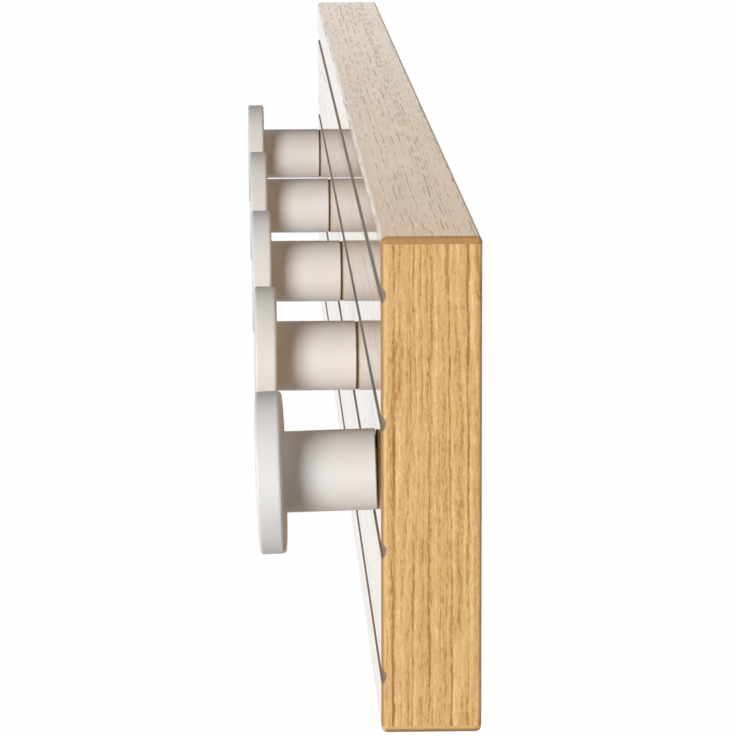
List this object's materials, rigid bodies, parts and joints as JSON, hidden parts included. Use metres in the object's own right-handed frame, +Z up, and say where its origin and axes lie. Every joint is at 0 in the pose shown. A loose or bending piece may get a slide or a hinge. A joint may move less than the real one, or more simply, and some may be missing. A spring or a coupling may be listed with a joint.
{
  "type": "coat hook rail",
  "caption": "Long veneered board, grooved along its front, with a row of disc-headed pegs for coats; hangs on a wall by keyhole plates let into its back.",
  "frame": {"origin": "middle of the back face, on the wall plane", "axes": "+X along the rail to the right as seen from the front, +Y into the wall, +Z up"},
  "size_m": [0.6, 0.0442, 0.1],
  "materials": {
    "fibreboard_core": "matte, sealed",
    "oak_face_veneer": "clear satin lacquer",
    "oak_edge_band": "clear satin lacquer",
    "oak_end_band": "clear satin lacquer",
    "peg_lacquer": "greige matte lacquer",
    "brown_fibre": "matte",
    "brass_insert": "turned",
    "zinc_plated_steel": "zinc plated"
  },
  "bodies": {
    "root": {"core_panel": "fibreboard_core", "back_veneer": "oak_face_veneer", "top_band": "oak_edge_band", "bottom_band": "oak_edge_band", "left_end_band": "oak_end_band", "right_end_band": "oak_end_band", "foot_washers": "brown_fibre", "thread_inserts": "brass_insert", "peg_studs": "zinc_plated_steel", "left_hanger_plate": "zinc_plated_steel", "right_hanger_plate": "zinc_plated_steel", "hanger_screws": "zinc_plated_steel", "front_strip_1": "oak_face_veneer", "front_strip_2": "oak_face_veneer", "front_strip_3": "oak_face_veneer", "front_strip_4": "oak_face_veneer", "front_strip_5": "oak_face_veneer", "peg_head_1": "peg_lacquer", "peg_stem_1": "peg_lacquer", "peg_head_2": "peg_lacquer", "peg_stem_2": "peg_lacquer", "peg_head_3": "peg_lacquer", "peg_stem_3": "peg_lacquer", "peg_head_4": "peg_lacquer", "peg_stem_4": "peg_lacquer", "peg_head_5": "peg_lacquer", "peg_stem_5": "peg_lacquer"}
  },
  "joints": []
}
